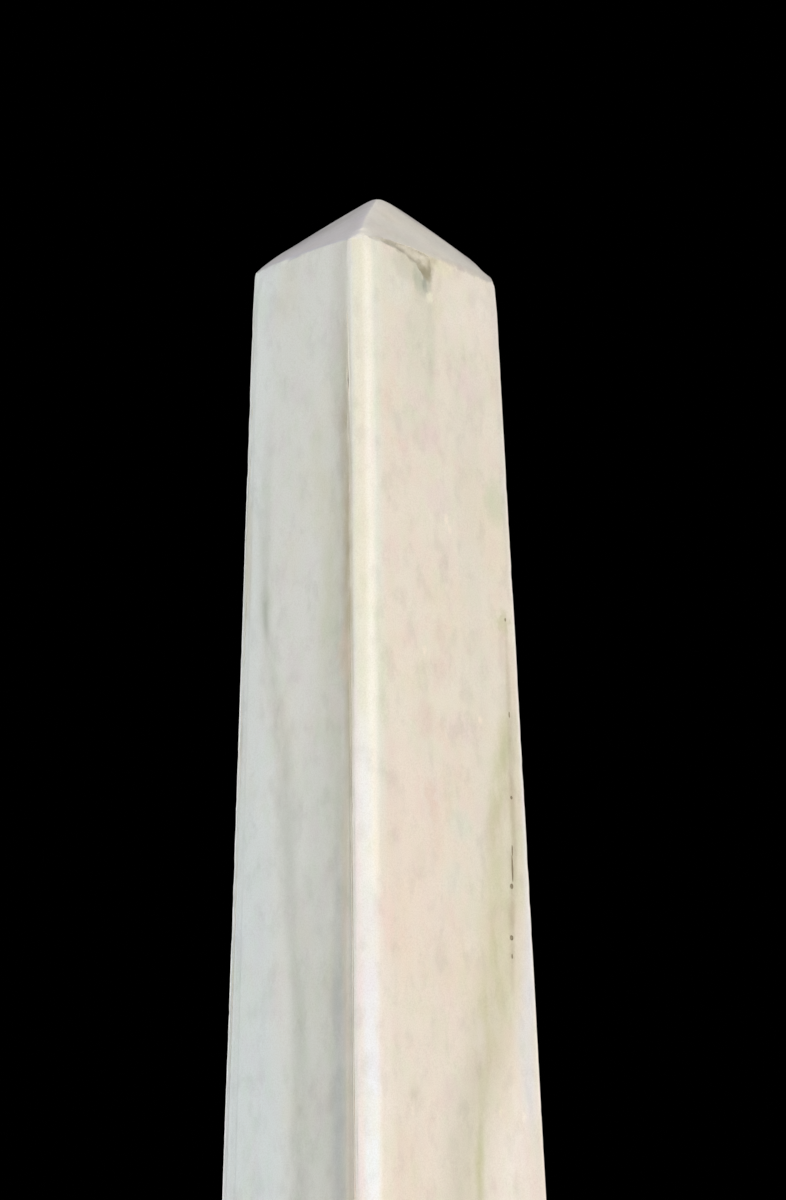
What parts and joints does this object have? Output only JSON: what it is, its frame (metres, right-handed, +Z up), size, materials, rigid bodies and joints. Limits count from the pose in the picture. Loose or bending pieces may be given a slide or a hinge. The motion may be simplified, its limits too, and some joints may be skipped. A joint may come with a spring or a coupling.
{
  "type": "small stone obelisk monument",
  "caption": "Tapering pale stone obelisk with a low point, bevelled corners, plinth, base slab and kerbed step, free-standing as a small landmark.",
  "frame": {"origin": "ground level, under the middle of the bottom step", "axes": "+Z up the shaft; +X along the wide front face; the front face looks along -Y"},
  "size_m": [0.9434, 0.8934, 2.9042],
  "materials": {
    "shaft_stone": "honed pale cream marble, softly worn, with green and brown weather streaks",
    "base_stone": "the same pale stone, finely rubbed, a little more weathered",
    "mortar": "lime mortar, raked back and weathered",
    "concrete": "plain cast concrete, hidden under the base slab"
  },
  "bodies": {
    "root": {"front_kerb": "base_stone", "back_kerb": "base_stone", "left_kerb": "base_stone", "right_kerb": "base_stone", "kerb_joints": "mortar", "step_heart": "concrete", "slab_bed": "mortar", "base_slab": "base_stone", "plinth_bed": "mortar", "plinth": "base_stone", "shaft_bed": "mortar", "shaft": "shaft_stone"}
  },
  "joints": []
}
